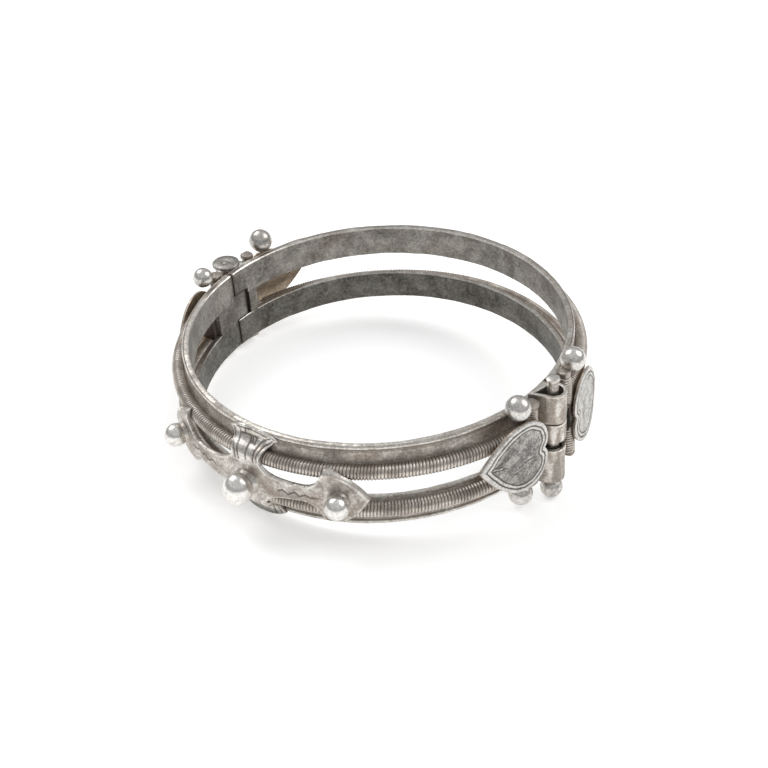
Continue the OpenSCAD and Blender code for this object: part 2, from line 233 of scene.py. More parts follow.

# %% [markdown]
# The amount of film on a point is a sum. Clouds and fine speckle spread it over the face, a
# hollow or a groove adds to it and a worn edge takes it away. Where a finish's hollow film is
# negative, its hollows get lighter instead, which is painted light. The same clouds say how
# mottled the inside of the hoop is there. Soot fills grooves with dirt and darkens the deepest
# corners near other metal, where it is partly dirt and partly painted shade.

# %% How much film
def film_amounts(tree, point, cover, spread, speckle, hollow_film_and_light, soot_and_shade, grain):
    """How filmed, mottled, sooty, tinted and grained a point is, as node outputs by name."""
    ranges = {
        "cloud_film": ("clouds", 0.36, 0.64, cover - spread, cover + spread),
        "fine_film": ("fine", 0.34, 0.66, -speckle, speckle),
        "hollow_film_and_light": ("open_sky", 0.9, 0.25, 0.0, hollow_film_and_light),
        # darker in the deepest corners near other metal: partly dirt, partly painted shade
        "corner_soot_and_shade": ("open_sky", 0.5, 0.12, 0.0, soot_and_shade),
        "tint": ("tint", 0.4, 0.6, 0.0, 1.0),
        "cloud_tone": ("clouds", 0.35, 0.65, 0.1, 0.8),
        "fine_tone": ("fine", 0.35, 0.65, -0.25, 0.3),
        "grain": ("grit", 0.3, 0.7, 1.0 - grain, 1.0 + grain)}
    amount = {key: add_node(tree, "ShaderNodeMapRange", (),
                            dict(enumerate((point[source], *limits)))).outputs[0]
              for key, (source, *limits) in ranges.items()}

    filmed = amount["cloud_film"]
    for more in (amount["fine_film"], amount["hollow_film_and_light"], point["grime_and_shade"]):
        filmed = add_node(tree, "ShaderNodeMath", {"operation": "ADD"},
                          {0: filmed, 1: more}).outputs[0]
    amount["filmed"] = add_node(
        tree, "ShaderNodeMath", {"operation": "MULTIPLY_ADD", "use_clamp": True},
        {0: point["worn_and_lit"], 1: -0.75, 2: filmed}).outputs[0]
    amount["mottle"] = add_node(
        tree, "ShaderNodeMath", {"operation": "ADD", "use_clamp": True},
        {0: amount["cloud_tone"], 1: amount["fine_tone"]}).outputs[0]
    amount["black"] = add_node(
        tree, "ShaderNodeMath", {"operation": "MULTIPLY_ADD", "use_clamp": True},
        {0: point["grime_and_shade"], 1: 0.7, 2: amount["corner_soot_and_shade"]}).outputs[0]
    return amount


print("amounts read", len(PAINTS) + 5, "values of a point")

# %% [markdown]
# The colour starts as bright metal. Film goes over it, then the two dark tones of the
# never-polished inside, then soot, which in the deepest corners is partly painted shade, and
# the fine grain varies the result a little. Film also makes the face rougher. Most of it stays
# metal, because the film is thin enough to see through.

# %% Silver
# the soot colour: dirt in grooves, and painted shade in the deepest corners
SOOT_AND_SHADE, NEVER_POLISHED = "#382f29", ("#6d6b65", "#2b2a27")


def silver(name, bright, film, cover, spread, gloss, film_rough, cloud=3.0, marks=0.5,
           mark_depth=0.02, speckle=0.3, hollow=1.0, hollow_film_and_light=0.4, soot_and_shade=0.5, grain=0.15,
           dull_and_shaded=NEVER_POLISHED):
    """A silver finish. Sizes are in mm; cover is how much film lies on a plain face."""
    material = bpy.data.materials.new(name)
    material.use_nodes = True
    tree = material.node_tree
    tree.nodes.clear()
    point = silver_inputs(tree, cloud, marks, hollow)
    amount = film_amounts(tree, point, cover, spread, speckle, hollow_film_and_light, soot_and_shade, grain)

    film_tone, dull_tone = (
        add_node(tree, "ShaderNodeMix", {"data_type": "RGBA"},
                 {0: share, 6: hex_colour(pair[0]), 7: hex_colour(pair[1])}).outputs[2]
        for share, pair in ((amount["tint"], film), (amount["mottle"], dull_and_shaded)))
    colour = hex_colour(bright)
    for share, other in ((amount["filmed"], film_tone), (point["dull_and_shaded"], dull_tone),
                         (amount["black"], hex_colour(SOOT_AND_SHADE))):
        colour = add_node(tree, "ShaderNodeMix", {"data_type": "RGBA"},
                          {0: share, 6: colour, 7: other}).outputs[2]
    colour = add_node(tree, "ShaderNodeVectorMath", {"operation": "SCALE"},
                      {0: colour, "Scale": amount["grain"]}).outputs[0]

    film_gloss, metal = (
        add_node(tree, "ShaderNodeMapRange", (),
                 {0: amount["filmed"], 3: low, 4: high}).outputs[0]
        for low, high in ((gloss, film_rough), (1.0, 0.8)))
    rough = add_node(tree, "ShaderNodeMix", (),
                     {0: point["dull_and_shaded"], 2: film_gloss, 3: 0.5}).outputs[0]
    height = add_node(tree, "ShaderNodeMath", {"operation": "MULTIPLY_ADD"},
                      {0: point["clouds"], 1: 1.5, 2: point["fine"]}).outputs[0]
    normal = add_node(tree, "ShaderNodeBump", (), {
        "Height": height, "Distance": mark_depth * MM, "Strength": 1.0}).outputs["Normal"]
    shader = add_node(tree, "ShaderNodeBsdfPrincipled", (), {
        "Base Color": colour, "Roughness": rough, "Metallic": metal, "Normal": normal})
    add_node(tree, "ShaderNodeOutputMaterial", (), {"Surface": shader.outputs[0]})
    return material


print("soot in linear light", [round(x, 3) for x in hex_colour(SOOT_AND_SHADE)[:3]])

# %% [markdown]
# The strip was forged and filed flat, and its faces carry the most film. The wound wire was
# drawn, so it is smooth and shines on its crests. The hearts were engraved and rubbed. The
# balls were burnished and are the brightest part. Pins are handled most, so they are smooth
# and pale.

# %% The six finishes
# forged and filed: satin, mottled brown-grey, the waves of the file just felt
STRIP = silver("tarnished_forged_silver_strip", "#dad5cd", ("#aa9e93", "#9c958c"), cover=0.74,
               spread=0.4, gloss=0.32, film_rough=0.46, cloud=3.2, marks=0.5, mark_depth=0.04,
               speckle=0.25, hollow_film_and_light=0.15, soot_and_shade=0.2, grain=0.2)
# drawn through a plate: smooth and even, a thin shine on each crest
WIRE = silver("drawn_silver_wire", "#d8d2ca", ("#aa9e93", "#a0978e"), cover=0.72, spread=0.4,
              gloss=0.34, film_rough=0.48, cloud=3.0, marks=0.6, mark_depth=0.01, speckle=0.2,
              hollow=0.5, hollow_film_and_light=0.2, soot_and_shade=0.15)
# rolled sheet: a bright rubbed border, a grey field, and a warm film on the unseen rear, its tones
# made pale as a painted light because the rear lies in shade
HEART = silver("engraved_silver_plate", "#d2cfca", ("#817d79", "#767370"), cover=0.62,
               spread=0.32, gloss=0.36, film_rough=0.5, cloud=1.6, marks=0.35, mark_depth=0.04,
               speckle=0.3, soot_and_shade=0.2, grain=0.22, dull_and_shaded=("#d6c6b2", "#a3917d"))
# rubbed with a steel burnisher: near mirror, a few soft film spots
BALL = silver("burnished_silver_ball", "#f0ede8", ("#aca39a", "#a49f99"), cover=0.18,
              spread=0.22, gloss=0.27, film_rough=0.36, cloud=1.5, marks=0.35, mark_depth=0.009,
              speckle=0.3, hollow=0.6, hollow_film_and_light=0.3, soot_and_shade=0.1, grain=0.12)
# sawn sheet, worn by the sleeve: open faces warm and filmed, folds brighter; its negative hollow
# film paints the hollows beside the balls lighter, a painted light against the shade there
CROSS = silver("worn_silver_cross", "#dfdbd4", ("#9f9287", "#999189"), cover=0.7, spread=0.4,
               gloss=0.32, film_rough=0.48, cloud=2.2, marks=0.4, mark_depth=0.03,
               speckle=0.25, hollow=1.6, hollow_film_and_light=-0.3, soot_and_shade=0.0)
# turned rod, pulled out and pushed in for years: pale, with soft scratches
PIN = silver("handled_silver_pin", "#dad6cf", ("#a0958a", "#999590"), cover=0.6, spread=0.4,
             gloss=0.3, film_rough=0.45, cloud=1.6, marks=0.4, mark_depth=0.03,
             dull_and_shaded=("#a8a49f", "#76726c"))
for finish in (STRIP, WIRE, HEART, BALL, CROSS, PIN):
    print(finish.name, "has", len(finish.node_tree.nodes), "nodes")

# %% [markdown]
# ## Rails, plates and knuckles
# A rail is a flat strip bent into a hoop, with a thin wire soldered along one edge as a rim.
# Its section is drawn once as a short list of points and spun about the hoop's axis. Each
# point of the section carries its own paint, so the rim comes out bright, the groove beside
# it dark, and the inside dull; the lower rail's inside is painted darker than the upper one's,
# which is painted shade. Solder runs up the strip in a soft fillet above each tube, darker next
# to the tube, partly dirt in the crease and partly painted shade. A lump of it fills the corner
# behind each tongue, and a thin backing closes the slot in which the other half's tongue lies.
# Both are painted nearly black, a painted shade for the dark corners there.

# %% Rail section
# distance out from the inner face, height over the strip's plain edge, grime, worn, dull
RAIL = [
    (0.00, 0.12, 0.0, 0.3, 0.9), (0.12, 0.00, 0.0, 0.8, 0.1), (0.78, 0.00, 0.0, 0.2, 0.2),
    (0.90, 0.12, 0.0, 0.1, 0.0), (0.90, 2.66, 0.0, 0.1, 0.0), (0.90, 3.50, 0.0, 0.2, 0.0),
    (0.90, 4.38, 0.35, 0.0, 0.0), (1.02, 4.46, 0.1, 0.3, 0.0), (1.10, 4.60, 0.0, 0.7, 0.0),
    (1.10, 4.86, 0.0, 0.8, 0.0), (1.00, 5.00, 0.0, 0.7, 0.0), (0.90, 5.00, 0.1, 0.4, 0.0),
    (0.84, 4.94, 0.4, 0.0, 0.0), (0.76, 5.00, 0.0, 0.5, 0.0), (0.24, 5.00, 0.0, 0.55, 0.0),
    (0.13, 5.00, 0.0, 1.0, 0.0), (0.00, 4.87, 0.0, 1.0, 0.2), (0.00, 4.78, 0.0, 0.2, 0.9)]
# the solder fillet: distance out, height over the plain edge, grime; the fillet is darker next to
# the tube, partly dirt in the crease and partly painted shade
SOLDER = [(0.80, 0.15, 0.0), (0.91, 0.22, 0.0), (0.98, 0.42, 0.1), (1.12, 0.60, 0.25),
          (1.36, 0.75, 0.4), (1.36, 2.10, 0.4), (1.17, 2.34, 0.2), (1.06, 2.62, 0.05),
          (0.98, 2.98, 0.0), (0.93, 3.40, 0.0), (0.905, 3.90, 0.0), (0.80, 4.00, 0.0)]
# the lump behind a tongue and the backing of its slot: radius and height in the hoop; both are
# painted nearly black, as painted shade
SEAT = [(OUT_R - 0.1, 4.3), (COIL_AXIS_R + 0.2, 4.2), (COIL_AXIS_R + 1.5, 4.9),
        (COIL_AXIS_R + 1.75, 6.8), (COIL_AXIS_R + 1.5, 8.9), (COIL_AXIS_R + 0.2, 9.6),
        (OUT_R - 0.1, 9.3)]
LINER = [(OUT_R - 0.1, 4.6), (OUT_R + 0.18, 4.6), (OUT_R + 0.18, 9.6), (OUT_R - 0.1, 9.6)]
UPPER_H, LOWER_H = 5.0, 4.7
UPPER_INSIDE_SHADE = 0.68  # the upper rail's inside is painted lighter than the lower one's; the lower one's darker inside is painted shade
print("points round a rail", len(RAIL), "round a fillet", len(SOLDER))

# %% [markdown]
# Spinning a closed line of points gives a hoop at once, and filling its two open ends closes
# it. Steps of 0.75 degrees leave corners of a few hundredths of a millimetre.

# %% Spinning
def spun(section, a0, a1, step=0.75):
    """Spins a closed section of (r, z) or (r, z, grime, worn, dull) from a0 to a1 degrees."""
    bm = new_shell()
    layers = [bm.verts.layers.float[name] for name in PAINTS]
    ring = []
    for r, z, *paints in section:
        v = bm.verts.new(polar(r, a0, z))
        for layer, value in zip(layers, paints):
            v[layer] = value
        ring.append(v)
    edges = [bm.edges.new((ring[i - 1], ring[i])) for i in range(len(ring))]
    bmesh.ops.spin(bm, geom=ring + edges, cent=(0, 0, 0), axis=(0, 0, 1), dvec=(0, 0, 0),
                   angle=math.radians(a1 - a0), steps=max(1, round((a1 - a0) / step)))
    close_ends(bm)
    return bm


def rail_section(foot, height, flipped=False, profile=RAIL):
    """A profile as (r, z, paints) rows, with its plain edge at foot, or flipped over."""
    rows = []
    for out, up, *paints in profile:
        up *= height / UPPER_H
        # the upper rail's inside gets less of the dark inside tone; the lower one's full tone is
        # painted shade
        if len(paints) == 3 and not flipped:
            paints[2] *= UPPER_INSIDE_SHADE
        rows.append((IN_R + out, foot + (height - up if flipped else up), *paints))
    return rows


print("one step is", round(math.radians(0.75) * OUT_R, 2), "mm long")

# %% [markdown]
# A small plate joins the two rails beside each joint. It is let in a little on both faces.
# Where the joint's knuckles need room, the plate and the rail are cut back, as a smith would
# saw them. The cut parts are made as bands of their own that end inside each other. Dirt lies
# in the sawn seams, so the ends of each band are painted dark.

# %% Bands
SEAM_LOW, SEAM_HIGH, LENS = 4.8, 9.5, 6.2
PASS, SLIT, HALF_SLIT = 3.75, 0.05, 0.14
PLATE_LOW, PLATE_HIGH = IN_R + 0.05, OUT_R - 0.05
SEAM_WIDE = 0.11
RAIL_TRIM, LAP = 0.2, 0.3


def soil_ends(bm, a0, a1):
    """Darkens the two ends of a spun part, where dirt lies in the seam."""
    layer = bm.verts.layers.float["grime_and_shade"]
    for v in bm.verts:
        az = math.degrees(math.atan2(v.co.y, v.co.x))
        if min(abs((az - a + 180) % 360 - 180) for a in (a0, a1)) < 0.1:
            v[layer] = 0.85


def band(a0, a1, z0, z1, r0=PLATE_LOW, r1=PLATE_HIGH, soft=0.08):
    """A plain band with softened edges, dull inside and filmed outside."""
    return spun([(r0, z0 + 0.3, 0.0, 0.0, 0.75), (r0, z0 + soft, 0.4, 0.0, 0.6),
                 (r0 + soft, z0, 0.8, 0.0, 0.4), (r1 - soft, z0, 0.8, 0.0, 0.0),
                 (r1, z0 + soft, 0.2, 0.0, 0.0), (r1, z1 - soft, 0.2, 0.0, 0.0),
                 (r1 - soft, z1, 0.8, 0.0, 0.0), (r0 + soft, z1, 0.8, 0.0, 0.4),
                 (r0, z1 - soft, 0.4, 0.0, 0.6), (r0, z1 - 0.3, 0.0, 0.0, 0.75)], a0, a1)


def cut_section(section, low):
    """The part of a section above a height, flat underneath."""
    kept = [row for row in section if row[1] > low]
    inner = (IN_R + 0.01, low, 0.7, 0.0, 0.6)
    outer = (OUT_R - 0.01, low, 0.7, 0.0, 0.0)
    return [(IN_R, low + 0.3, 0.0, 0.0, 0.8), inner, outer] + kept


print("plate", round(PLATE_HIGH - PLATE_LOW, 2), "mm thick, seams", 2 * SEAM_WIDE, "mm wide")

# %% [markdown]
# A knuckle is sheet bent round a pin, with a tail soldered to the strip, so from above it is
# a teardrop. Its outline about the pin is a circle that widens to a point on one side. Two
# such rings of points are bridged, the ring is pulled up in steps, and its edges are beveled.

# %% Knuckle outline
AXIS_R, KNUCKLE_R, LOOP_T, PIN_R = 31.5, 1.85, 0.52, 0.95
TAIL = (2.75, -(AXIS_R - OUT_R) - 0.35)
OUTLINE_POINTS, KNUCKLE_STEP, KNUCKLE_BEVEL, LIP = 64, 0.45, 0.09, 0.12


def teardrop(r, side, reach):
    """Points of a loop of radius r whose tail points to the strip; reach 0 is a circle."""
    tail = Vector((side * TAIL[0], TAIL[1])) * reach
    base = math.atan2(tail.y, tail.x)
    open_angle = math.acos(min(1.0, r / tail.length)) if reach else 0.0
    points = []
    for i in range(OUTLINE_POINTS):
        turn = 2 * math.pi * i / OUTLINE_POINTS
        off = min(turn, 2 * math.pi - turn)
        away = r / math.cos(open_angle - off) if off < open_angle else r
        points.append((away * math.cos(base + turn), away * math.sin(base + turn)))
    return points


print("clasp loop", 2 * KNUCKLE_R, "mm wide, its wall", LOOP_T, "mm")

# %% [markdown]
# The same steps make all six knuckles, the closed ones of the hinge and the open loops of the
# clasp: only the inner outline differs. They are worked round the origin, where the bevel is
# easiest to aim: it takes the level edges between faces that meet at more than 60 degrees.

# %% Bent sheet
def bent_sheet(side, height, wall=None):
    """A teardrop ring that stands on height 0. With a wall it is open, else it is closed."""
    bm = new_shell()
    if wall:
        inner = teardrop(KNUCKLE_R - wall, side, 1 - wall / KNUCKLE_R)
    else:
        inner = teardrop(PIN_R + 0.08, side, 0)
    loops = []
    for outline in (teardrop(KNUCKLE_R, side, 1), inner):
        ring = [bm.verts.new((x, y, 0)) for x, y in outline]
        loops += [bm.edges.new((ring[i - 1], ring[i])) for i in range(len(ring))]
    faces = bmesh.ops.bridge_loops(bm, edges=loops)["faces"]
    grown = bmesh.ops.extrude_face_region(bm, geom=faces)["geom"]
    raised = [g for g in grown if isinstance(g, bmesh.types.BMVert)]
    bmesh.ops.translate(bm, verts=raised, vec=(0, 0, height))
    upright = [e for e in bm.edges if abs(e.verts[0].co.z - e.verts[1].co.z) > 0.1]
    bmesh.ops.subdivide_edges(bm, edges=upright, cuts=round(height / KNUCKLE_STEP),
                              use_grid_fill=True)
    bmesh.ops.recalc_face_normals(bm, faces=bm.faces)
    rims = [e for e in bm.edges if e.calc_face_angle(0) > math.radians(60)
            and abs(e.verts[0].co.z - e.verts[1].co.z) < 1e-6]
    bmesh.ops.bevel(bm, geom=rims, offset=KNUCKLE_BEVEL, offset_type="OFFSET", segments=2,
                    profile=0.5, affect="EDGES", material=-1)
    return bm


print("height steps of", KNUCKLE_STEP, "mm, edges softened by", KNUCKLE_BEVEL, "mm")

# %% [markdown]
# A knuckle is painted before it moves to its joint, because its paint follows its own shape: a
# bright worn lip along the top edge, and streaks that run down the side, which are painted
# reflections.

# %% Knuckles
def at_joint(az, x, out, z):
    """A point near a joint axis: x along the hoop, out from the hoop, z up."""
    return Matrix.Rotation(math.radians(az), 3, "Z") @ Vector((AXIS_R + out, x, z))


def knuckle(az, side, z0, z1, wall=None, wave=0.03):
    """A knuckle between two heights. With a wall it is an open loop, else it is closed."""
    bm = bent_sheet(side, z1 - z0, wall)

    def lip_wear_and_painted_streaks(p):
        # a bright worn lip along the top; the streaks down the side are painted reflections
        reflection_streak = 1.8 * noise.noise(Vector((2.6 * math.atan2(p.y, p.x), 0.25 * p.z, z0))) - 0.08
        return (0.0, 1.0 if p.z > z1 - z0 - LIP else reflection_streak, 0.0)

    paint(bm, lip_wear_and_painted_streaks)
    for v in bm.verts:
        v.co = at_joint(az, v.co.x, v.co.y, v.co.z + z0)
    hand_worked(bm, 1.3, wave, z0)
    return bm


print("bright lip", LIP, "mm high")

# %% [markdown]
# ## The two halves
# One function makes the strips and plates of a half, because both halves were made to one
# pattern: angles in it are degrees from a joint. Each half has a tongue at one joint and a cut
# for the other half's tongue at the other.

# %% Strips and plates of a half
TONGUE_PASS, TONGUE_GAP, TONGUE_END = 1.5, 1.2, 13.5
STAY_NEAR, STAY_FAR = 2.8, 5.7
COIL_START, LET_IN = 10.6, 0.24
TONGUE_TRIM, SEAT_NEAR, SEAT_FAR = 0.4, 6.6, 15.2
LINER_NEAR, LINER_FAR = 0.9, 3.2
UNDER = LOWER_H - LET_IN
HINGE_LOW, CLASP_LOW, LOOP_RISE = -0.9, -1.2, 0.7


def half_frame(start, end, tongue_at, far_joint, tongue_low):
    """Both rails of one half, the plates between them and the cut for the other's tongue."""
    whole = new_shell()
    notch = far_joint - TONGUE_PASS - TONGUE_GAP
    upper = rail_section(UPPER_Z, UPPER_H)
    first, last = start + RAIL_TRIM, end - RAIL_TRIM
    rails = [spun(upper, first, notch + LAP),
             spun([(r - 0.004, z - 0.004, *p) for r, z, *p in
                   cut_section(upper, SEAM_HIGH + SEAM_WIDE)], notch, last),
             spun(rail_section(0.0, LOWER_H, flipped=True), first, last)]
    for i, rail in enumerate(rails):
        soil_ends(rail, first, last)
        hand_worked(rail, 4.5, 0.07, i + start)
        hand_worked(rail, 1.1, 0.035, i + end)
        join(whole, rail)
    # the fillets are darker next to the tubes: partly dirt in the crease, partly painted shade
    for rows in (rail_section(UPPER_Z, UPPER_H, False, SOLDER),
                 rail_section(0.0, LOWER_H, True, SOLDER)):
        join(whole, spun([(*row[:3], 0.1, 0) for row in rows], start + COIL_START - PASS,
                         end - COIL_START + PASS))
    tip, root = tongue_at - TONGUE_PASS + TONGUE_TRIM, tongue_at + PASS + HALF_SLIT * 3
    tongue = band(tip, root + LAP, tongue_low + SEAM_WIDE, SEAM_HIGH - SEAM_WIDE,
                  PLATE_LOW + 0.01, PLATE_HIGH - 0.01)
    soil_ends(tongue, tip, tip)
    join(whole, tongue)
    join(whole, band(root, tongue_at + TONGUE_END, UNDER, SEAM_HIGH - SEAM_WIDE))
    join(whole, band(far_joint - STAY_FAR, far_joint - STAY_NEAR, UNDER, UPPER_Z + LET_IN))
    # the lump and the backing are painted nearly black, a painted shade in the dark corners by the
    # tongues
    for outline, a0, a1 in ((SEAT, tongue_at + SEAT_NEAR, tongue_at + SEAT_FAR),
                            (LINER, far_joint - LINER_FAR, far_joint - LINER_NEAR)):
        join(whole, spun([(r, z, 0.9, 0.0, 0.4) for r, z in outline], a0, a1))
    return whole


print("tongue", TONGUE_PASS + TONGUE_END, "degrees long, cut", TONGUE_PASS + TONGUE_GAP, "degrees")

# %% [markdown]
# The front half ends with the middle knuckle at the hinge and two loops at the clasp. The
# back half has the two outer knuckles at the hinge and the middle loop at the clasp. The two
# interlock, and the pins hold them together.

# %% Front frame
front = half_frame(HINGE_AZ + PASS + HALF_SLIT, CLASP_AZ + PASS, HINGE_AZ, CLASP_AZ, SEAM_LOW)
join(front, knuckle(HINGE_AZ, 1, SEAM_LOW, SEAM_HIGH - SLIT))
join(front, knuckle(CLASP_AZ, -1, CLASP_LOW, SEAM_LOW, LOOP_T, 0.06))
join(front, knuckle(CLASP_AZ, -1, SEAM_HIGH + 0.06, TOP_Z + LOOP_RISE, LOOP_T, 0.06))
finish_piece(front, "front_frame_strip", "front_half", "front_frame", STRIP)

# %% [markdown]
# The back half runs on from the clasp to the hinge, a full turn after the front one's start.
# Its loop at the clasp is shorter than the room between the front half's loops, and the gap
# below it shows the pin.

# %% Back frame
BACK_END = HINGE_AZ + 360
back = half_frame(CLASP_AZ + PASS + HALF_SLIT, BACK_END + PASS, CLASP_AZ, BACK_END, LENS)
join(back, knuckle(HINGE_AZ, -1, HINGE_LOW, SEAM_LOW - SLIT))
join(back, knuckle(HINGE_AZ, -1, SEAM_HIGH + SLIT, TOP_Z - SLIT))
join(back, knuckle(CLASP_AZ, 1, LENS, SEAM_HIGH - 0.14, LOOP_T, 0.06))
finish_piece(back, "back_frame_strip", "back_half", "back_frame", STRIP)

# %% [markdown]
# ## Wound wire
# Each tube is a core with fine round wire wound on it, turn against turn. The wire is 0.46
# mm thick, so a tube has about 180 turns. A small circle is spun about a straight axis while
# it creeps along, which gives a helix, and the straight winding is then bent onto the hoop.
# Seven sides are enough for a wire as thin as this. One turn is spun and then repeated, which
# is much quicker than one long spin.

# %% Wound wire
WIRE_T, WIRE_SIDES, TURN_STEPS = 0.46, 7, 14
COIL_Z = {"upper": UPPER_Z + COIL_R + 0.35, "lower": LOWER_H - COIL_R - 0.1}


def wound_wire(length, radius, wire_t):
    """Wire wound turn against turn along x from 0, bright on its crests."""
    turns = round(length / wire_t) - 1
    pitch = (length - wire_t) / turns
    one = new_shell()
    start = Matrix.Translation((wire_t / 2, radius - wire_t / 2, 0))
    ring = bmesh.ops.create_circle(one, cap_ends=False, segments=WIRE_SIDES,
                                   radius=wire_t / 2, matrix=start)["verts"]
    bmesh.ops.spin(one, geom=ring + list({e for v in ring for e in v.link_edges}),
                   cent=(0, 0, 0), axis=(1, 0, 0), dvec=(pitch / TURN_STEPS, 0, 0),
                   angle=2 * math.pi, steps=TURN_STEPS)
    turn = bpy.data.meshes.new("turn")
    one.to_mesh(turn)
    one.free()
    bm = new_shell()
    for _ in range(turns):
        bm.from_mesh(turn)
        turn.transform(Matrix.Translation((pitch, 0, 0)))
    bpy.data.meshes.remove(turn)
    bmesh.ops.remove_doubles(bm, verts=bm.verts, dist=1e-3)
    close_ends(bm)

    def wire_wear(p):
        depth = (radius - math.hypot(p.y, p.z)) / (wire_t * 0.5)
        # crests on the lower half of the tube are painted brighter than those on the upper half
        shine = 0.7 if p.z < 0.3 * radius else 0.25
        return (min(0.25, max(0.0, depth - 0.4)), max(0.0, shine - depth * 1.5), 0.0)

    paint(bm, wire_wear)
    return bm


print("faces in one turn of wire", WIRE_SIDES * TURN_STEPS)

# %% [markdown]
# The core only shows as a dark line between two turns, so a plain cylinder is enough for it.
# It is cut across many times, because it is bent together with the wire.

# %% Winding
WIRE_SHOWS = 0.42  # share of the wire's thickness that stands out of the core


def winding(length, radius, wire_t):
    """A straight winding along x that starts at 0, with the core inside it."""
    bm = wound_wire(length, radius, wire_t)
    core = new_shell()
    core_r = radius - wire_t * WIRE_SHOWS
    bmesh.ops.create_cone(core, cap_ends=True, segments=24, radius1=core_r, radius2=core_r,
                          depth=length + 0.5,
                          matrix=Matrix.Translation((length / 2, 0, 0))
                          @ Matrix.Rotation(math.pi / 2, 4, "Y"))
    long_edges = [e for e in core.edges if abs(e.verts[0].co.x - e.verts[1].co.x) > 0.1]
    bmesh.ops.subdivide_edges(core, edges=long_edges, cuts=max(1, round(length / 0.6)))
    paint(core, lambda p: (0.25, 0.0, 0.0))
    join(bm, core)
    return bm


print("a tube's core is", round(2 * (COIL_R - WIRE_T * WIRE_SHOWS), 2), "mm thick")

# %% [markdown]
# The turns of a hand-wound tube are never even: they bunch up and open by a few hundredths,
# so the place of each point along the wire is shifted by a slow noise before bending. The
# back lower tube hangs half a millimetre low at the far side of the hoop.

# %% Coils
SAG_AT, SAG_WIDTH = 450.0, 42.0


def coil(name, body, a0, a1, z, sag=0.0):
    """A wound tube; sag is how far it hangs low at the far side of the hoop."""
    length = math.radians(a1 - a0) * COIL_AXIS_R
    bm = winding(length, COIL_R, WIRE_T)
    for v in bm.verts:
        x, y, up = v.co
        x += 0.12 * noise.noise(Vector((x * 0.45, z, 0))) * min(1.0, x, length - x)
        az = a0 + math.degrees(x / COIL_AXIS_R)
        low = sag * math.exp(-((az - SAG_AT) / SAG_WIDTH) ** 2)
        v.co = polar(COIL_AXIS_R + y, az, z + up - low)
    finish_piece(bm, name + "_wire", body, name, WIRE, 60)


for row in ("upper", "lower"):
    coil(f"front_{row}_coil", "front_half", HINGE_AZ + COIL_START, CLASP_AZ - COIL_START,
         COIL_Z[row])
    coil(f"back_{row}_coil", "back_half", CLASP_AZ + COIL_START, BACK_END - COIL_START,
         COIL_Z[row], 0.5 if row == "lower" else 0.0)

# %% [markdown]
# ## Posts
# Beside each joint stands a short post wound with the same kind of wire, closed by a small
# block with rounded corners. The block is a cube whose edges are beveled round. The post
# behind the clasp stands askew on the real bangle: its foot leans out.

# %% Posts
POST_R, POST_OFF, POST_LOW, POST_HIGH = 0.96, 7.2, -0.45, 14.2
POST_AT = OUT_R + 0.2 + 0.06 + POST_R


def post(name, body, az, lean=0.0, block=1.84):
    """A wound post; lean is how many degrees its foot stands out from the hoop."""
    bm = winding(POST_HIGH - POST_LOW - 1.1, POST_R, 0.42)
    for v in bm.verts:
        v.co = Vector((v.co.y, v.co.z, POST_LOW + 0.3 + v.co.x))
    cap = new_shell()
    for z, tall in ((POST_HIGH - 0.42, 0.84), (POST_LOW + 0.2, 0.4)):
        made = bmesh.ops.create_cube(cap, size=1.0)["verts"]
        bmesh.ops.scale(cap, vec=(block - 0.06, block, tall), verts=made)
        bmesh.ops.translate(cap, vec=(0, 0, z), verts=made)
    upright = [e for e in cap.edges if abs(e.verts[0].co.z - e.verts[1].co.z) > 0.1]
    bmesh.ops.bevel(cap, geom=upright, offset=0.3 * block, offset_type="OFFSET", segments=5,
                    profile=0.5, affect="EDGES", material=-1)
    rims = [e for e in cap.edges if abs(e.verts[0].co.z - e.verts[1].co.z) < 1e-6]
    bmesh.ops.bevel(cap, geom=rims, offset=0.19, offset_type="OFFSET", segments=3,
                    profile=0.5, affect="EDGES", material=-1)
    paint(cap, lambda p: (0.12, 0.1, 0.0))
    join(bm, cap)
    bm.transform(Matrix.Rotation(math.radians(az), 4, "Z")
                 @ Matrix.Translation((POST_AT, 0, POST_HIGH))
                 @ Matrix.Rotation(math.radians(-lean), 4, "Y")
                 @ Matrix.Translation((0, 0, -POST_HIGH)))
    finish_piece(bm, name + "_wire", body, name, WIRE, 60)


post("front_hinge_post", "front_half", HINGE_AZ + POST_OFF)
post("back_hinge_post", "back_half", HINGE_AZ - POST_OFF)
post("front_clasp_post", "front_half", CLASP_AZ - POST_OFF)
post("back_clasp_post", "back_half", CLASP_AZ + POST_OFF + 1.6, lean=4.3, block=1.6)

# %% [markdown]
# ## Engraved plates
# The hearts and the cross were sawn from sheet, filed along the edge and engraved with lines
# a third of a millimetre wide. Lines that fine need a fine mesh: the flat outline becomes one
# face, gets a narrow inset for its filed edge, and is cut by planes into small squares. Each
# point then sinks as far as its distance from the nearest engraved line says.

# %% Cut sheet
SQUARE = 0.13  # finer than the narrowest engraved line


def curve(a, b, c, n):
    """n points of a quadratic curve from a towards c, without its last point."""
    a, b, c = (Vector(p) for p in (a, b, c))
    return [a * (1 - t) ** 2 + b * 2 * t * (1 - t) + c * t * t for t in (i / n for i in range(n))]


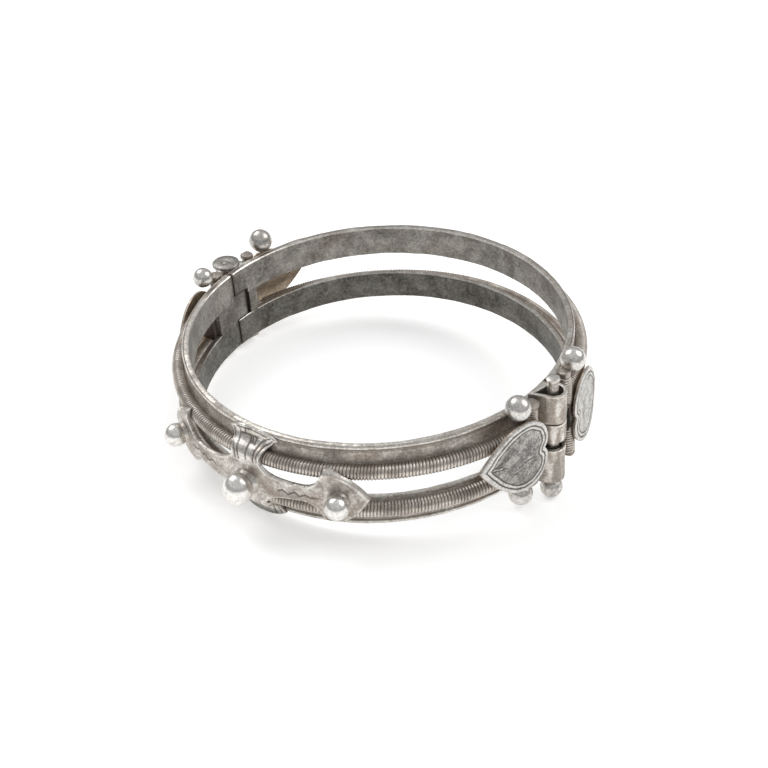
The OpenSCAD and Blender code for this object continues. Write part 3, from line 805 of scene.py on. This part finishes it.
def cut_sheet(outline, edge, step):
    """The outline as a flat sheet of small squares, with a strip of width edge around it."""
    bm = new_shell()
    face = bm.faces.new([bm.verts.new((p[0], p[1], 0)) for p in outline])
    bmesh.ops.inset_region(bm, faces=[face], thickness=edge, use_even_offset=True)
    for axis in (0, 1):
        values = [p[axis] for p in outline]
        normal = Vector((axis == 0, axis == 1, 0))
        count = int((max(values) - min(values)) / step)
        for i in range(1, count + 1):
            at = normal * (min(values) + (i - 0.37) * step)
            bmesh.ops.bisect_plane(bm, geom=bm.verts[:] + bm.edges[:] + bm.faces[:],
                                   dist=1e-5, plane_co=at, plane_no=normal)
    return bm


print("sheets are cut into squares of", SQUARE, "mm")

# %% [markdown]
# A graver leaves a groove with a round bottom. How deep a point lies depends only on how far
# it is from the line, so each line is a short list of points and needs no mesh of its own.
# The rear face is a copy of the sheet, pulled back.

# %% Engraving tools
def distance_to(points, line, closed=False):
    """Distance of each flat point to a line of points."""
    line = np.array([tuple(p)[:2] for p in line], float)
    if closed:
        line = np.vstack([line, line[:1]])
    best = np.full(len(points), 1e9)
    for a, b in zip(line[:-1], line[1:]):
        along = b - a
        t = np.clip(((points - a) @ along) / max(along @ along, 1e-12), 0, 1)
        best = np.minimum(best, np.hypot(*(points - a - t[:, None] * along).T))
    return best


def groove(distance, width):
    """How far a point lies in a groove of that half width: 1 in its middle, 0 outside."""
    t = np.clip(1 - distance / width, 0, 1)
    return t * t * (3 - 2 * t)


def flat_points(bm):
    return np.array([(v.co.x, v.co.y) for v in bm.verts], float)


def give_back(bm):
    """Pulls a copy of the sheet back as its rear face; returns which points are in front."""
    layer = bm.verts.layers.int.new("front")
    for v in bm.verts:
        v[layer] = 1
    grown = bmesh.ops.extrude_face_region(bm, geom=bm.faces[:])["geom"]
    for g in grown:
        if isinstance(g, bmesh.types.BMVert):
            g[layer] = 0
    return [v[layer] == 1 for v in bm.verts]


print("a groove half way to its edge is", float(groove(0.5, 1.0)), "deep")

# %% [markdown]
# ## Hearts
# A heart's border is filed bright, with two engraved lines that follow its edge. The field
# inside was struck with small marks and a few strokes form a V at the tip. The plate follows
# the hoop and leans in a little at the top, and no two hearts sit quite alike.

# %% Heart outline
HEART_L, HEART_HALF, HEART_T, HEART_LEAN = 10.9, 5.5, 0.45, math.tan(math.radians(4))
HEART_OUT = PLATE_IN + 1.07
FILED = 0.14  # width of the filed edge
upper_half = (curve((0, 0), (-0.082, 0.155), (-0.054, 0.379), 6)
              + curve((-0.054, 0.379), (-0.03, 0.672), (0.104, 0.853), 8)
              + curve((0.104, 0.853), (0.225, 1.017), (0.371, 1), 8)
              + curve((0.371, 1), (0.596, 0.966), (0.794, 0.534), 9)
              + curve((0.794, 0.534), (0.907, 0.293), (1, 0), 6))
upper_half = [Vector((p.x * HEART_L, p.y * HEART_HALF)) for p in upper_half]
HEART_OUTLINE = (upper_half + [Vector((HEART_L, 0))]
                 + [Vector((p.x, -p.y)) for p in reversed(upper_half[1:])])
V_STROKES = [[(9.2, 0.15), (7.4, 0.75), (6.6, 1.25)], [(9.0, -0.2), (7.9, -0.35), (7.0, -0.4)],
             [(8.6, 0.2), (7.6, 0.2)], [(7.9, 0.85), (7.2, 1.45)], [(5.0, -1.2), (3.4, -0.6),
             (2.2, -0.55)], [(6.2, -2.2), (4.6, -1.7)]]
print("heart", HEART_L, "by", 2 * HEART_HALF, "mm, outline points", len(HEART_OUTLINE))

# %% [markdown]
# A heart is cut flat, given its rear face, engraved, and bent onto the hoop last. Its notch
# faces the joint. The one behind the clasp is rubbed so much that its strokes are half gone.

# %% Hearts
def heart(name, body, az, side, notch, rise, turn, seed, rubbed=0.0):
    """One heart plate; side is +1 when its tip lies in the direction of rising angles."""
    bm = cut_sheet(HEART_OUTLINE, FILED, SQUARE)
    in_front = give_back(bm)
    flat = flat_points(bm)
    wobble = np.array([0.09 * noise.noise(Vector((x * 0.8, y * 0.8, seed))) for x, y in flat])
    edge = distance_to(flat, HEART_OUTLINE, closed=True)
    lines = np.maximum(groove(abs(edge + wobble - 0.68), 0.17),
                       groove(abs(edge + wobble * 1.5 - 1.25), 0.16))
    field = np.clip((edge + wobble - 1.25) / 0.2, 0, 1)
    strokes = np.zeros(len(flat))
    for line in V_STROKES:
        strokes = np.maximum(strokes, groove(distance_to(flat, line), 0.12))
    c, s = math.cos(math.radians(turn)), math.sin(math.radians(turn))
    layers = [bm.verts.layers.float[n] for n in PAINTS]
    for i, v in enumerate(bm.verts):
        x, y = flat[i]
        x, y = notch + x * c - y * s, rise + x * s + y * c
        out = HEART_OUT - HEART_LEAN * y
        if in_front[i]:
            struck = strokes[i] * field[i] * (1 - rubbed)
            out -= 0.10 * lines[i] + 0.07 * field[i] + 0.06 * struck
            out -= 0.10 * max(0.0, 1 - edge[i] / FILED) ** 2
            out += 0.05 * field[i] * noise.noise(Vector((x * 1.1, y * 1.1, seed)))
            v[layers[0]] = min(1.0, 0.85 * lines[i] + 0.08 * field[i] + 0.7 * struck)
            v[layers[1]] = max(rubbed, 0.9 - 0.9 * field[i] - lines[i]) - 0.4 * struck
        else:
            out -= HEART_T
            # the rear face takes the pale tan tones, a painted light where the rear lies in shade
            v[layers[2]] = 1.0
        v.co = polar(out, az + side * math.degrees(math.asin(x / out)), MID_Z + y)
    finish_piece(bm, name + "_plate", body, name, HEART)


heart("front_hinge_heart", "front_half", HINGE_AZ, 1, 4.4, 0, 0, 1.0)
heart("front_clasp_heart", "front_half", CLASP_AZ, -1, 3.6, 0.25, 4.8, 2.0)
heart("back_hinge_heart", "back_half", HINGE_AZ, -1, 4.4, 0, 0, 3.0)
heart("back_clasp_heart", "back_half", CLASP_AZ, 1, 4.95, -0.4, -3, 4.0, 0.5)

# %% [markdown]
# ## Balls
# The balls were cast or pressed from two shells, soldered and burnished, so they are round
# but not perfect: the sphere gets waves of a few hundredths of a millimetre.

# %% A burnished ball
BALL_R, BALL_OFF = 1.8, 12.8


def ball_shell(r, centre, seed, tall=1.0, finish=0, grime_and_shade=0.0, worn_and_lit=0.0):
    """A burnished ball; tall stretches it upwards, finish picks the piece's material."""
    bm = new_shell()
    bmesh.ops.create_uvsphere(bm, u_segments=48, v_segments=32, radius=r)
    bmesh.ops.scale(bm, vec=(1, 1, tall), verts=bm.verts)
    for face in bm.faces:
        face.material_index = finish
    paint(bm, lambda p: (grime_and_shade, worn_and_lit, 0.0))
    hand_worked(bm, r * 0.8, 0.035, seed)
    bmesh.ops.translate(bm, verts=bm.verts, vec=centre)
    return bm


print("a plain ball is", 2 * BALL_R, "mm across")

# %% [markdown]
# Four balls sit between the rim and the hearts, one on each side of both joints. The two at
# the hinge differ in size. One more hangs below the rails, and it carries more film.

# %% Balls beside the joints
for name, az, reach, z, r, seed, grime_and_shade in (
        ("front_hinge_ball", HINGE_AZ + BALL_OFF - 1, 31.0, TOP_Z + 1.3, BALL_R - 0.2, 1, 0.15),
        ("back_hinge_ball", HINGE_AZ - BALL_OFF - 0.8, 31.05, TOP_Z + 1.35, BALL_R + 0.1, 2, 0.3),
        ("front_clasp_ball_top", CLASP_AZ - BALL_OFF, 31.0, TOP_Z + 1.3, BALL_R, 3, 0.15),
        ("back_clasp_ball_top", CLASP_AZ + BALL_OFF, 31.0, TOP_Z + 1.3, BALL_R, 4, 0.1),
        ("front_clasp_ball_low", CLASP_AZ - 9.6, OUT_R + 0.45, -BALL_R - 0.2, BALL_R, 5, 0.2)):
    finish_piece(ball_shell(r, polar(reach, az, z), seed, grime_and_shade=grime_and_shade), name + "_burnished",
                 name.split("_")[0] + "_half", name, BALL, 60)

# %% [markdown]
# ## The cross
# The cross lies across both wound tubes. Its side arms end in arrow shapes, its upright arm
# is bent over the tubes and comes in close to the strip. The upright arm has two engraved
# lines along each side and along its arched end, and a zigzag runs along each side arm.
# Seen from the side the plate is a height that depends only on how far a point is from the
# middle line, so the same cut sheet serves, pushed out to that height.

# %% Cross outline and section
CROSS_Z, CROSS_T = 6.6, 0.6
SHIFT = 0.6


def quarter(shift, low):
    """A quarter of the outline: the upright arm moved by shift, the side arm 2 * low wide."""
    return (curve((shift, 7.6), (shift + 2.6, 7.6), (shift + 4.0, 6.45), 9)
            + curve((shift + 4.0, 6.45), (shift + 1.25, 4.3), (shift + 3.1, 2.8), 12)
            + curve((shift + 3.1, 2.8), (4.6, low + 0.1), (9.2, low), 10)
            + curve((9.2, low), (11.3, low - 0.05), (12.3, 4.75), 10)
            + curve((12.3, 4.75), (15.9, 4.1), (17.65, 0), 12))


def mirrored(points, x, y):
    return [Vector((p.x * x, p.y * y)) for p in points]


CROSS_OUTLINE = (quarter(SHIFT, 1.65) + [Vector((17.65, 0))]
                 + mirrored(quarter(SHIFT, 1.05), 1, -1)[::-1]
                 + mirrored(quarter(-SHIFT, 1.8), -1, -1)[1:] + [Vector((-17.65, 0))]
                 + mirrored(quarter(-SHIFT, 1.1), -1, 1)[:0:-1])

LIP_IN, LIP_OUT, WRAP = 29.65, 30.1, 1.25
SHOULDER = math.radians(75)


def arm_height(t, wrap, lip, ease):
    """Distance from the hoop's axis of the plate's face at height t over the middle."""
    rise = COIL_Z["upper"] - CROSS_Z if t > 0 else CROSS_Z - COIL_Z["lower"]
    d = abs(t) - rise
    if d <= 0:
        return COIL_AXIS_R + wrap
    full = wrap * math.sin(SHOULDER)
    if d <= full:
        return COIL_AXIS_R + math.sqrt(wrap * wrap - d * d)
    shoulder = COIL_AXIS_R + wrap * math.cos(SHOULDER)
    return lip + (shoulder - lip) * max(0.0, 1 - (d - full) / ease) ** 2


print("cross outline points", len(CROSS_OUTLINE))

# %% [markdown]
# The engraved lines of the upright arm are drawn as short strokes, in millimetres from the
# middle of the cross. The lower arm gets the lines along its two sides, turned over.

# %% Engraving
ARM_LINES = [
    [(-2.75, 6.5), (-2.0, 5.3), (-1.15, 4.4), (-0.95, 3.3)],
    [(-1.75, 7.0), (-1.35, 5.7), (-0.55, 4.3), (-0.35, 3.4)],
    [(-2.05, 6.8), (0.45, 7.2), (3.2, 6.85)],
    [(-1.35, 6.05), (0.1, 6.25), (1.6, 6.15)],
    [(0.43, 6.2), (0.7, 5.14), (0.95, 3.7)],
    [(3.75, 6.75), (2.35, 5.9), (2.05, 5.0), (2.15, 4.0), (2.2, 3.5)],
    [(4.0, 6.35), (2.95, 5.5), (2.6, 4.8), (2.7, 3.7)],
    [(-0.6, 6.15), (-0.5, 6.95)], [(0.75, 6.2), (1.0, 5.6)], [(1.5, 6.15), (1.35, 5.5)],
    [(0.6, 5.55), (1.6, 5.5)]]
EDGE_LINES = ARM_LINES[:2] + ARM_LINES[5:7]
ZIGZAG = [(5.78, -0.02), (6.43, 0.3), (7.26, -0.28), (8.28, 0.37), (8.85, -0.29), (9.74, 0.2),
          (10.54, -0.16), (11.35, 0.0)]
CROSS_LINES = (ARM_LINES + [[(2 * SHIFT - x, -t) for x, t in line] for line in EDGE_LINES]
               + [ZIGZAG, [(-x, t - 0.35) for x, t in ZIGZAG]])
print("engraved lines on the cross", len(CROSS_LINES))

# %% [markdown]
# The plate is cut, engraved and pushed out over the tubes. Its edges are rubbed bright by the
# sleeve. The upright arm is also painted lighter above and below the tubes, which is painted
# light where its bent faces turn away from the light; the side arms get only their bright edges.
# The foot of the lower arm is painted dark, a painted shade where it lies under the bangle.

# %% Cross plate
CROSS_FILED = 0.12
cross = cut_sheet(CROSS_OUTLINE, CROSS_FILED, SQUARE)
in_front = give_back(cross)
flat = flat_points(cross)
edge = distance_to(flat, CROSS_OUTLINE, closed=True)
cuts = np.zeros(len(flat))
for line in CROSS_LINES:
    cuts = np.maximum(cuts, groove(distance_to(flat, line), 0.19))
layers = [cross.verts.layers.float[n] for n in PAINTS]
for i, v in enumerate(cross.verts):
    x, t = flat[i]
    if in_front[i]:
        out = arm_height(t, WRAP + CROSS_T, LIP_OUT, 0.9)
        out -= 0.11 * cuts[i] + 0.12 * max(0.0, 1 - edge[i] / CROSS_FILED) ** 2
        out += 0.06 * noise.noise(Vector((x * 0.5, t * 0.5, 3.0)))
        v[layers[0]] = 0.95 * cuts[i]
        # edges are worn bright; the upright arm beyond the tubes is painted lighter as well, a
        # painted light
        upright = abs(x - SHIFT) < 4.2 and abs(t) > 3
        v[layers[1]] = max(0.0, 0.95 - edge[i] * 2.2) + 0.8 * upright
        # the foot of the lower arm is painted dark, a painted shade under the bangle
        v[layers[2]] = min(0.7, max(0.0, -t - 6.2))
    else:
        out = arm_height(t, WRAP, LIP_IN, 0.4)
    v.co = polar(out, CROSS_AZ + math.degrees(math.asin(x / out)), CROSS_Z + t)
print("cross plate faces", len(cross.faces))

# %% [markdown]
# Three balls sit on the cross, each in a collar of solder. The collar is a short cone with its
# edges beveled. The middle ball is the largest and a little taller than wide. The balls belong
# to the same piece as the plate, so their faces pick the second material.

# %% Balls on the cross
CROSS_BALL_R, SIDE_BALL_R, SIDE_OFF, SINK, COLLAR_H = 2.15, 1.72, 25.9, 0.3, 1.0
for off, r, low, tall in ((0.8, CROSS_BALL_R, 0.45, 1.14), (-SIDE_OFF, SIDE_BALL_R, 0, 1.04),
                          (SIDE_OFF, SIDE_BALL_R, 0, 1.04)):
    at = polar(PLATE_IN + CROSS_T + r - SINK, CROSS_AZ + off, CROSS_Z - low)
    join(cross, ball_shell(r, at, off, tall, finish=1, worn_and_lit=0.15))
    collar = new_shell()
    at = polar(PLATE_IN + CROSS_T + COLLAR_H / 2 - 0.15, CROSS_AZ + off, CROSS_Z - low)
    outwards = Matrix.Rotation(math.radians(CROSS_AZ + off), 4, "Z") @ Matrix.Rotation(
        math.pi / 2, 4, "Y")
    bmesh.ops.create_cone(collar, cap_ends=True, segments=48, radius1=r * 1.0,
                          radius2=r * 0.78, depth=COLLAR_H,
                          matrix=Matrix.Translation(at) @ outwards)
    edges = [e for e in collar.edges if e.calc_face_angle(0) > math.radians(30)]
    bmesh.ops.bevel(collar, geom=edges, offset=0.15, offset_type="OFFSET", segments=3,
                    profile=0.5, affect="EDGES", material=-1)
    paint(collar, lambda p: (0.1, 0.45, 0.0))
    join(cross, collar)
finish_piece(cross, "cross_ornament_engraved", "front_half", "cross_ornament",
             CROSS, second=BALL)

# %% [markdown]
# ## Pins
# Both pins are round, so their outlines are spun a full turn. Handling keeps everything above
# the clasp loops bright: that is the head of the loose pin.

# %% Turned shapes
HEAD_Z = 16.2


def turned(outline, az, seed, dull_and_shaded=0.0):
    """Spins an outline of (radius, height) a full turn about a joint axis."""
    bm = new_shell()
    verts = [bm.verts.new((r, 0, z)) for r, z in outline]
    edges = [bm.edges.new(pair) for pair in zip(verts, verts[1:])]
    bmesh.ops.spin(bm, geom=verts + edges, cent=(0, 0, 0), axis=(0, 0, 1), dvec=(0, 0, 0),
                   angle=2 * math.pi, steps=40, use_merge=True)
    bmesh.ops.remove_doubles(bm, verts=bm.verts, dist=1e-4)
    bmesh.ops.translate(bm, verts=bm.verts, vec=polar(AXIS_R, az, 0))
    hand_worked(bm, 1.2, 0.04, seed)
    paint(bm, lambda p: (0.0, 1.0 if p.z > HEAD_Z else 0.3, dull_and_shaded))
    return bm


print("bright above", HEAD_Z, "mm")

# %% [markdown]
# The hinge pin is riveted over a flat cap at the top, with a small dimple round its end, and
# over a small foot at the bottom. Nobody touches it, so it is as dull as the inside.

# %% Hinge pin
CAP_R, FOOT_R = 2.2, PIN_R + 0.3
hinge_pin = turned(
    [(0, -1.35), (FOOT_R - 0.12, -1.35), (FOOT_R, -1.23), (FOOT_R, -1.05), (FOOT_R - 0.1, -0.95),
     (PIN_R, -0.95), (PIN_R, TOP_Z + 0.05), (CAP_R - 0.14, TOP_Z + 0.05),
     (CAP_R, TOP_Z + 0.17), (CAP_R, TOP_Z + 0.42), (CAP_R - 0.14, TOP_Z + 0.55),
     (0.62, TOP_Z + 0.55), (0.52, TOP_Z + 0.49), (0.42, TOP_Z + 0.55), (0.2, TOP_Z + 0.6),
     (0, TOP_Z + 0.61)], HINGE_AZ, 1, 0.75)
finish_piece(hinge_pin, "hinge_pin_riveted", "back_half", "hinge_pin", PIN, 50)

# %% [markdown]
# The clasp pin is loose: it is pulled out by the ball at its foot to open the bangle. Its head
# is a little wider than its neck, and years of use have bent its upper part slightly.

# %% Clasp pin
PIN_TOP, PIN_BALL_R, PIN_BALL_Z, PIN_BEND = 16.7, 1.65, -3.2, 0.3
neck = math.asin(PIN_R / PIN_BALL_R)
ball_part = [(PIN_BALL_R * math.sin(a), PIN_BALL_Z - PIN_BALL_R * math.cos(a))
             for a in (i * (math.pi - neck) / 24 for i in range(25))]
rod_part = [(PIN_R, z) for z in np.linspace(-1.6, TOP_Z - 1.0, 12)]
head_part = [(PIN_R - 0.14, TOP_Z), (PIN_R - 0.17, PIN_TOP - 1.0), (PIN_R - 0.1, PIN_TOP - 0.6),
             (PIN_R + 0.02, PIN_TOP - 0.3), (PIN_R - 0.02, PIN_TOP - 0.12),
             (PIN_R - 0.25, PIN_TOP - 0.01), (0, PIN_TOP)]
clasp_pin = turned(ball_part + rod_part + head_part, CLASP_AZ, 2)
along = Matrix.Rotation(math.radians(CLASP_AZ), 3, "Z") @ Vector((0, 1, 0))
for v in clasp_pin.verts:
    v.co -= along * PIN_BEND * max(0.0, v.co.z - LENS) / (PIN_TOP - LENS)
finish_piece(clasp_pin, "clasp_pin_loose", "clasp_pin", "clasp_pin", PIN, 50)

# %% [markdown]
# ## Table, light and camera
# The bangle lies on white seamless paper that melts into the background. The paper glows a
# little, which stands in for the light that a bright studio throws on it from all sides.

# %% Ground
floor_mesh = bpy.data.meshes.new("ground")
bm = bmesh.new()
bmesh.ops.create_grid(bm, x_segments=8, y_segments=8, size=3.0)
bm.to_mesh(floor_mesh)
bm.free()
ground = bpy.data.objects.new("ground", floor_mesh)
bpy.context.scene.collection.objects.link(ground)
paper = bpy.data.materials.new("white_seamless_paper")
paper.use_nodes = True
sheet = paper.node_tree.nodes["Principled BSDF"]
sheet.inputs["Base Color"].default_value = hex_colour("#f4f4f3")
sheet.inputs["Roughness"].default_value = 0.75
sheet.inputs["Emission Color"].default_value = hex_colour("#ffffff")
sheet.inputs["Emission Strength"].default_value = 0.41
floor_mesh.materials.append(paper)
print("ground", round(ground.dimensions.x, 1), "m wide")

# %% [markdown]
# Two soft boxes stand high on the left and right, slightly behind the bangle: each ball shows
# both of them as white spots. The rest of the room is grey and darker towards the horizon,
# which gives the silver something dark to mirror: the band below the white spots.

# %% Light
scene = bpy.context.scene
scene.view_settings.view_transform = "Standard"
world = bpy.data.worlds.new("grey_room")
scene.world = world
world.use_nodes = True
sky = world.node_tree
way = add_node(sky, "ShaderNodeTexCoord").outputs["Generated"]
height = add_node(sky, "ShaderNodeSeparateXYZ", (), {0: way}).outputs["Z"]
brightness = add_node(sky, "ShaderNodeMapRange", (), {
    "Value": height, "From Min": 0.08, "From Max": 0.5, "To Min": 0.36, "To Max": 0.93})
room = sky.nodes["Background"]
room.inputs["Color"].default_value = hex_colour("#cfd0d2")
sky.links.new(brightness.outputs[0], room.inputs["Strength"])


def soft_box(name, direction, distance, size, power):
    """A square soft box that faces the bangle."""
    data = bpy.data.lights.new(name, "AREA")
    data.shape, data.size, data.energy = "SQUARE", size, power
    lamp = bpy.data.objects.new(name, data)
    way = Vector(direction).normalized()
    lamp.matrix_world = (Matrix.Translation(way * distance)
                         @ way.to_track_quat("Z", "Y").to_matrix().to_4x4())
    scene.collection.objects.link(lamp)


soft_box("soft_box_left", (-0.5, 0.43, 0.72), 1.1, 0.6, 3.4)
soft_box("soft_box_right", (0.67, 0.1, 0.7), 1.1, 0.6, 3.4)
print("lamps", len(bpy.data.lights))

# %% [markdown]
# The camera looks down at the bangle at 37 degrees from 20 centimetres away with a short
# telephoto. It was set by matching the two rims, the hinge and the clasp in the picture.

# %% Camera
DOWN, AWAY, ROLL = 36.735, 200.0, 4.319
FOCAL_PX, IMAGE_PX, SENSOR = 1241.641, 768, 36.0
AIM = Vector((0.321, 3.997, -1.0))
down, roll = math.radians(DOWN), math.radians(ROLL)
look = Vector((0, math.cos(down), -math.sin(down)))
level_up = Vector((0, math.sin(down), math.cos(down)))
level_right = Vector((1, 0, 0))
right = level_right * math.cos(roll) - level_up * math.sin(roll)
up = level_right * math.sin(roll) + level_up * math.cos(roll)
camera_data = bpy.data.cameras.new("camera")
camera_data.sensor_width = SENSOR
camera_data.lens = FOCAL_PX * SENSOR / IMAGE_PX
camera_data.clip_start, camera_data.clip_end = 0.01, 20.0
camera = bpy.data.objects.new("camera", camera_data)
scene.collection.objects.link(camera)
facing = TURN @ Matrix((right, up, -look)).transposed()
camera.matrix_world = Matrix.Translation(LAID @ (AIM - look * AWAY)) @ facing.to_4x4()
scene.camera = camera
print("camera at", [round(x, 4) for x in camera.matrix_world.translation])
